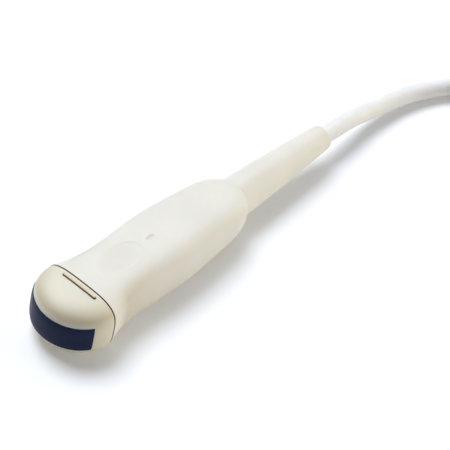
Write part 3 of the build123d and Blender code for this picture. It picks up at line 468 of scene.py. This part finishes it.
for material in (head_ivory, grip_ivory):
    gap = offset(material.node_tree, "X", seam_place)
    beside_seam = fade(material.node_tree, gap, seam_half, seam_half + STAIN_REACH)
    lay_stain_or_painted_light(material, beside_seam, SEAM_AND_SHADE_BROWN)
# Painted shade: the rib's flanks turn dark brown where the surface faces sideways.
flank_shade = fade(tan.node_tree, facing(tan.node_tree, "Z"), FLANK_FOOT, FLANK_TOP)
lay_stain_or_painted_light(tan, flank_shade, SEAM_AND_SHADE_BROWN)
print("seam at", round(seam_place, 6), "stained", STAIN_REACH, "wide")

# %% [markdown]
# The head gets painted shade: a warm, darker band a few millimetres above the lens, where the dome turns
# away from the light, and more faintly everything below it. A paler strip right above the lens is a painted
# highlight of the window's edge. Both follow the height over the lens, and the strip ends where the lens
# does.

# %% Painted shade and a painted highlight on the head
# The warm, darker tint is painted shade on the front of the head.
FRONT_SHADE_TINT = (0.57, 0.455, 0.235)
FRONT_SHADE_STRENGTH = 0.5
FRONT_SHADE_AT_LENS = 0.4
FRONT_SHADE_PEAK = 0.0026
FRONT_SHADE_END = 0.0060
# The paler tint is a painted highlight along the lens's upper edge.
RIM_HIGHLIGHT_TINT = (0.86, 0.83, 0.73)
RIM_HIGHLIGHT_STRENGTH = 0.6
RIM_WIDTH = 0.0006
RIM_END = 0.0018
lens_low, lens_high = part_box("acoustic_lens")
lens_level = (lens_low.z + lens_high.z) / 2
lens_half = (lens_high.z - lens_low.z) / 2


def painted_front_shade(tree, height):
    """Painted shade: strongest a little above the lens, weaker from the lens down, none further up."""
    outer = fade(tree, height, lens_half + FRONT_SHADE_PEAK, lens_half + FRONT_SHADE_END, FRONT_SHADE_STRENGTH)
    inner = fade(tree, height, lens_half + FRONT_SHADE_PEAK, lens_half)
    return reckon(tree, "MULTIPLY", outer, reckon(tree, "MAXIMUM", inner, FRONT_SHADE_AT_LENS))


def painted_rim_highlight(tree, height):
    """Painted highlight: a narrow strip along the lens's upper edge."""
    strip = fade(tree, height, lens_half + RIM_WIDTH, lens_half + RIM_END, RIM_HIGHLIGHT_STRENGTH)
    beside_lens = fade(tree, position(tree, "X"), lens_high.x - RIM_END, lens_high.x)
    above_lens = reckon(tree, "GREATER_THAN", height, lens_half)
    return reckon(tree, "MULTIPLY", reckon(tree, "MULTIPLY", strip, beside_lens), above_lens)


head_tree = head_ivory.node_tree
over_lens = reckon(head_tree, "SUBTRACT", position(head_tree, "Z"), lens_level)
# Painted shade above the lens, then a painted highlight along its upper edge.
lay_stain_or_painted_light(head_ivory, painted_front_shade(head_tree, over_lens), FRONT_SHADE_TINT)
lay_stain_or_painted_light(head_ivory, painted_rim_highlight(head_tree, over_lens), RIM_HIGHLIGHT_TINT)
print("lens half height", round(lens_half, 4))

# %% [markdown]
# The grip gets painted shade in three places: the scoop and the small dash are darker as shade in their
# hollows, and the sides of the waist behind the head are darker and warmer. The hollows are ovals around
# their middles, and the shaded waist is a stretch of the grip that counts only where its surface faces
# sideways.

# %% Painted shade on the grip
# Darker tints painted as shade in the scoop and the dash.
SCOOP_SHADE_TINT = (0.60, 0.57, 0.48)
DASH_SHADE_TINT = (0.36, 0.33, 0.28)
SCOOP = {"after_seam": 0.0186, "length": 0.021, "width": 0.0122, "strength": 0.22}
DASH = {"after_seam": 0.0351, "length": 0.005, "width": 0.0018, "strength": 0.2}
OVAL_CORE = 0.25
OVAL_RIM = 1.0
# A warm, darker tint painted as shade on the waist's sides.
WAIST_SHADE_TINT = (0.57, 0.50, 0.36)
WAIST_SHADE_STRENGTH = 0.7
WAIST_SHADE_START = 0.004
WAIST_SHADE_PEAK = 0.010
WAIST_SHADE_END = 0.028
SIDE_FULL = 0.9
SIDE_NONE = 0.3


def oval(tree, after_seam, length, width, strength):
    """The strength inside an oval on the grip's top, fading to 0 at its rim."""
    along = reckon(tree, "DIVIDE", offset(tree, "X", seam_low.x + after_seam), length / 2)
    across = reckon(tree, "DIVIDE", offset(tree, "Y", 0.0), width / 2)
    along_squared = reckon(tree, "MULTIPLY", along, along)
    across_squared = reckon(tree, "MULTIPLY", across, across)
    distance_squared = reckon(tree, "ADD", along_squared, across_squared)
    on_top = reckon(tree, "GREATER_THAN", position(tree, "Z"), lens_level)
    return reckon(tree, "MULTIPLY", fade(tree, distance_squared, OVAL_CORE, OVAL_RIM, strength), on_top)


def painted_waist_shade(tree):
    """Painted shade on a stretch of the waist, where it faces sideways."""
    behind = offset(tree, "X", seam_place)
    rear = fade(tree, behind, WAIST_SHADE_PEAK, WAIST_SHADE_END, WAIST_SHADE_STRENGTH)
    shaded_stretch = reckon(tree, "MULTIPLY", rear, fade(tree, behind, WAIST_SHADE_PEAK, WAIST_SHADE_START))
    sideways = reckon(tree, "ABSOLUTE", facing(tree, "Y"))
    return reckon(tree, "MULTIPLY", shaded_stretch, fade(tree, sideways, SIDE_FULL, SIDE_NONE))


grip_tree = grip_ivory.node_tree
# Painted shade in the scoop and the dash, then on the waist's sides.
lay_stain_or_painted_light(grip_ivory, oval(grip_tree, **SCOOP), SCOOP_SHADE_TINT)
lay_stain_or_painted_light(grip_ivory, oval(grip_tree, **DASH), DASH_SHADE_TINT)
lay_stain_or_painted_light(grip_ivory, painted_waist_shade(grip_tree), WAIST_SHADE_TINT)
# The waist's painted shade ends this far behind the seam.
print("finger marks end", WAIST_SHADE_END, "behind the seam")

# %% [markdown]
# The boots and the cable jacket are soft elastomers. They are smoother than the grip and a shade whiter, and
# more light creeps into them, so the moulding recipe gets more subsurface and a lower roughness.

# %% Boots and jacket
boot = moulded(
    "ivory_elastomer", (0.755, 0.725, 0.635), (0.795, 0.765, 0.675),
    roughness=(0.40, 0.48), lumps=70, grit=1800, depth=0.00001, edge=0.0004, shine=0.7, soft=0.5,
)
wear(["strain_relief", "plug_boot"], boot)
jacket = moulded(
    "white_jacket", (0.79, 0.78, 0.755), (0.83, 0.82, 0.795),
    roughness=(0.38, 0.48), lumps=120, grit=1500, depth=0.000012, shine=0.6, soft=0.5,
)
cable.data.materials.append(jacket)
wear(["cable_lead", "cable_hank", "cable_tail"], jacket)
print("boots and jacket dressed")

# %% [markdown]
# Two straps hold the hank, and a braid of tinned wire screens the cable's core. Both are woven, so threads
# run along and across. Threads could be modelled one by one, but at this size two wave textures at right
# angles are enough: their product is high where a thread crosses over, and it drives both the tint and the
# relief. The scale is that of the waves, so a larger one makes finer threads.

# %% Woven straps and braid
STRAP_SCALE = 160
BRAID_SCALE = 300
BRAID_TURN = (0, 0, pi / 4)
NO_TURN = (0, 0, 0)
FIBRE_LUMPS = 300
THREAD_LOW = 0.0
THREAD_HIGH = 0.8


def waves(tree, vector, scale, axis):
    """Even ridges across one axis."""
    inputs = {"Vector": vector, "Scale": scale}
    return add(tree, "ShaderNodeTexWave", inputs, wave_type="BANDS", bands_direction=axis).outputs["Fac"]


def woven(name, dark, light, scale, turn, depth, metal=0.0, roughness=(0.6, 0.8)):
    """Threads in two directions, over and under each other."""
    material, tree, shader = begin(name)
    vector = coordinates(tree, turn=turn)
    height = reckon(tree, "MULTIPLY", waves(tree, vector, scale, "X"), waves(tree, vector, scale, "Y"))
    feed(tree, shader, {
        "Base Color": tints(tree, height, dark, light, THREAD_LOW, THREAD_HIGH),
        "Roughness": spread(tree, grain(tree, FIBRE_LUMPS), *roughness),
        "Metallic": metal,
        "Normal": pressed(tree, height, depth),
    })
    return material


strap = woven(
    "grey_strap", (0.10, 0.105, 0.115), (0.24, 0.25, 0.27),
    scale=STRAP_SCALE, turn=NO_TURN, depth=0.0003,
)
wear(["hank_ties"], strap)
braid = woven(
    "tinned_braid", (0.30, 0.22, 0.15), (0.68, 0.56, 0.44),
    scale=BRAID_SCALE, turn=BRAID_TURN, depth=0.0002, metal=1.0, roughness=(0.3, 0.45),
)
wear(["cable_core", "plug_core"], braid)
print("wave scales: straps", STRAP_SCALE, "braid", BRAID_SCALE)

# %% [markdown]
# The metal pieces are turned, rolled or machined. Noise that is drawn out or squeezed along one axis makes
# the fine lines that a cutter or a roller leaves, in the gloss as well as in the tint. An anisotropic shader
# would stretch the highlight too, but on pieces this small the lines do it by themselves.

# %% Metals
TOOL_LINES = 900
TOOL_DETAIL = 2.0
TOOL_DEPTH = 0.000006
ROUND_LINES = (1, 1, 8)
LONG_LINES = (0.06, 1, 1)
CROSS_LINES = (8, 1, 1)
SIDE_LINES = (1, 6, 1)


def machined(name, dark, light, roughness, stretch):
    """Bare metal with fine tool lines, which run as the stretch says."""
    material, tree, shader = begin(name)
    lines = grain(tree, TOOL_LINES, TOOL_DETAIL, stretch)
    feed(tree, shader, {
        "Base Color": tints(tree, lines, dark, light),
        "Roughness": spread(tree, lines, *roughness),
        "Metallic": 1.0,
        "Normal": pressed(tree, lines, TOOL_DEPTH),
    })
    return material


steel = machined("bright_steel", (0.50, 0.50, 0.51), (0.66, 0.66, 0.67), (0.22, 0.34), ROUND_LINES)
wear(["board_screws", "clamp_screws", "cover_screws", "strap_screws", "knob_screw"], steel)
wear(["guide_pins", "lock_shaft", "shaft_clip"], steel)
aluminium = machined("machined_aluminium", (0.66, 0.66, 0.67), (0.78, 0.78, 0.79), (0.30, 0.42), LONG_LINES)
wear(["array_carrier", "clamp_base", "clamp_cap", "clamp_strap"], aluminium)
sheet = machined("rolled_sheet", (0.62, 0.62, 0.60), (0.74, 0.74, 0.72), (0.34, 0.5), LONG_LINES)
wear(["shield_sleeve"], sheet)
brass = machined("turned_brass", (0.66, 0.48, 0.22), (0.80, 0.62, 0.32), (0.22, 0.34), CROSS_LINES)
wear(["board_spacers", "core_ferrule"], brass)
gold = machined("plated_gold", (0.78, 0.57, 0.22), (0.90, 0.70, 0.32), (0.18, 0.28), SIDE_LINES)
wear(["contact_pads"], gold)
silver = machined("electroded_ceramic", (0.58, 0.55, 0.47), (0.74, 0.70, 0.60), (0.40, 0.55), SIDE_LINES)
wear(["element_array"], silver)
print("metals ready")

# %% [markdown]
# The boards, the amber films and the fan-outs carry rows of fine conductors. They are far too many to model,
# so a wave texture with a steep ramp draws them, and a touch of noise keeps the gloss from looking ruled.

# %% Conductors
LACQUER_LUMPS = 200
LINE_SOFTNESS = 0.12


def striped(name, ground, line, scale, share, roughness, depth):
    """Fine parallel conductors over a ground tint."""
    material, tree, shader = begin(name)
    rows = waves(tree, coordinates(tree), scale, "Y")
    feed(tree, shader, {
        "Base Color": tints(tree, rows, ground, line, share, share + LINE_SOFTNESS),
        "Roughness": spread(tree, grain(tree, LACQUER_LUMPS), *roughness),
        "Normal": pressed(tree, rows, depth),
    })
    return material


board = striped(
    "green_board", (0.018, 0.12, 0.05), (0.03, 0.19, 0.08),
    scale=220, share=0.62, roughness=(0.25, 0.38), depth=0.00003,
)
wear(["upper_board", "lower_board", "plug_board"], board)
film = striped(
    "amber_film", (0.55, 0.25, 0.05), (0.66, 0.38, 0.14),
    scale=420, share=0.5, roughness=(0.2, 0.3), depth=0.00002,
)
wear(["upper_flex_circuit", "lower_flex_circuit"], film)
wires = striped(
    "fine_wires", (0.32, 0.07, 0.05), (0.55, 0.17, 0.12),
    scale=380, share=0.35, roughness=(0.4, 0.5), depth=0.0002,
)
wear(["coax_fanout", "plug_fanout"], wires)
print("conductors drawn")

# %% [markdown]
# What is left are plain mouldings and cast resins: the contact block and sockets in black, the knob in dark
# grey, the rear bulkhead in white, and the two resins behind and in front of the array. The moulding recipe
# does for all of them, and the last line shows whether any solid was forgotten.

# %% Dark mouldings and resins
black = moulded(
    "black_moulding", (0.028, 0.028, 0.031), (0.042, 0.042, 0.046),
    roughness=(0.45, 0.6), lumps=80, grit=2200, depth=0.00002, edge=0.0003,
)
wear(["flex_sockets", "contact_block"], black)
knob_grey = moulded(
    "knob_grey", (0.17, 0.18, 0.20), (0.21, 0.22, 0.24),
    roughness=(0.45, 0.58), lumps=70, grit=1800, depth=0.00003, edge=0.0006,
)
wear(["lock_knob"], knob_grey)
white = moulded(
    "white_moulding", (0.74, 0.73, 0.69), (0.80, 0.79, 0.75),
    roughness=(0.45, 0.55), lumps=70, grit=2200, depth=0.00002, edge=0.0003,
)
wear(["rear_bulkhead"], white)
resin = moulded(
    "matching_resin", (0.24, 0.22, 0.19), (0.31, 0.29, 0.26),
    roughness=(0.4, 0.55), lumps=500, grit=4000, depth=0.00001,
)
wear(["matching_layer"], resin)
absorber = moulded(
    "absorber", (0.07, 0.07, 0.07), (0.14, 0.135, 0.13),
    roughness=(0.6, 0.75), lumps=900, grit=3000, depth=0.00003,
)
wear(["backing_block"], absorber)
bare = [name for name in nodes if not nodes[name].data.materials]
print("solids without a finish:", bare)

# %% [markdown]
# The probe lies on a white table. A bright lamp would bleach the ivory long before the table looked white, so
# the table adds a touch of white of its own. Only the camera and mirror-like rays see that touch, so it
# lights nothing, and the soft shadow stays on the table.

# %% Set the table
TABLE_HALF = 4.0
TABLE_DROP = 0.0002
TABLE_WHITE = (0.785, 0.795, 0.815, 1)
TABLE_ROUGHNESS = 0.9
TABLE_LIFT = 0.18
WHITE = (1, 1, 1, 1)
CORNERS = [(-1, -1), (1, -1), (1, 1), (-1, 1)]


def table_finish():
    """Matte white, lifted where it is seen."""
    material, tree, shader = begin("table_white")
    path = add(tree, "ShaderNodeLightPath").outputs
    mirrored = reckon(tree, "MAXIMUM", path["Is Glossy Ray"], path["Is Transmission Ray"])
    seen = reckon(tree, "MAXIMUM", path["Is Camera Ray"], mirrored)
    feed(tree, shader, {
        "Base Color": TABLE_WHITE,
        "Roughness": TABLE_ROUGHNESS,
        "Specular IOR Level": 0.0,
        "Emission Color": WHITE,
        "Emission Strength": reckon(tree, "MULTIPLY", seen, TABLE_LIFT),
    })
    return material


def make_table():
    """Flat white table, a hair below the probe."""
    mesh = bpy.data.meshes.new("table")
    places = [(x * TABLE_HALF, y * TABLE_HALF, -TABLE_DROP) for x, y in CORNERS]
    mesh.from_pydata(places, [], [(0, 1, 2, 3)])
    mesh.materials.append(table_finish())
    piece = bpy.data.objects.new("table", mesh)
    scene.collection.objects.link(piece)
    return piece


table = make_table()
print("table is", 2 * TABLE_HALF, "wide")

# %% [markdown]
# Three wide, soft lamps do the work of a softbox studio. The key hangs high on the far side, so it lights the
# flat top evenly and throws a short, soft shadow towards us. A cool lamp behind the probe puts a sheen on its
# top. A low, warm fill from the rear right keeps the grip's side light. It throws no shadow, because a second
# one would tint the table. No lamp shines on the head's front, which is why it falls off there. Sun lamps are
# the plainest choice, since only their direction, strength and angle count.

# %% Hang the lamps
LAMPS = {
    "key_lamp": {"azimuth": 82, "elevation": 61, "strength": 2.7, "angle": 36, "tint": (0.955, 0.995, 1.075)},
    "back_lamp": {"azimuth": 33, "elevation": 56, "strength": 0.62, "angle": 46, "tint": (0.92, 0.98, 1.10)},
    "fill_lamp": {"azimuth": -48, "elevation": 8, "strength": 1.65, "angle": 60, "tint": (1.07, 0.985, 0.80)},
}
SHADOWLESS = "fill_lamp"


def make_lamp(name, azimuth, elevation, strength, angle, tint):
    """Soft lamp, as wide as the angle says. The azimuth counts from the cable's side to the far side."""
    level = cos(radians(elevation))
    comes_from = Vector((
        cos(radians(azimuth)) * level,
        sin(radians(azimuth)) * level,
        sin(radians(elevation)),
    ))
    lamp = bpy.data.objects.new(name, bpy.data.lights.new(name, "SUN"))
    lamp.data.energy = strength
    lamp.data.angle = radians(angle)
    lamp.data.color = tint
    lamp.data.use_shadow = name != SHADOWLESS
    lamp.rotation_mode = "QUATERNION"
    lamp.rotation_quaternion = comes_from.to_track_quat("Z", "Y")
    scene.collection.objects.link(lamp)


for name, setting in LAMPS.items():
    make_lamp(name, **setting)
print("lamps:", list(LAMPS))

# %% [markdown]
# A room is never quite dark, so a faint white glow fills the shadows. It is stronger on the cable's side and
# weaker on the lens's side: the direction of each ray is compared with one fixed direction, and the result is
# spread between two strengths. The Standard view transform then shows every colour about as it is written.

# %% Light the room
GLOW_FROM = (0.8, -0.5, 0.33)
GLOW_WEAK = 0.02
GLOW_STRONG = 0.14


def make_glow():
    """Light of the room, from a weak side to a strong one."""
    world = bpy.data.worlds.new("studio")
    world.use_nodes = True
    tree = world.node_tree
    way = add(tree, "ShaderNodeTexCoord").outputs["Generated"]
    toward = add(tree, "ShaderNodeVectorMath", {0: way, 1: GLOW_FROM}, operation="DOT_PRODUCT")
    inputs = {
        "Value": toward.outputs["Value"],
        "From Min": -1.0,
        "From Max": 1.0,
        "To Min": GLOW_WEAK,
        "To Max": GLOW_STRONG,
    }
    strength = add(tree, "ShaderNodeMapRange", inputs).outputs["Result"]
    feed(tree, tree.nodes["Background"], {"Color": WHITE, "Strength": strength})
    return world


scene.world = make_glow()
scene.view_settings.view_transform = "Standard"
print("glow from", GLOW_WEAK, "to", GLOW_STRONG)
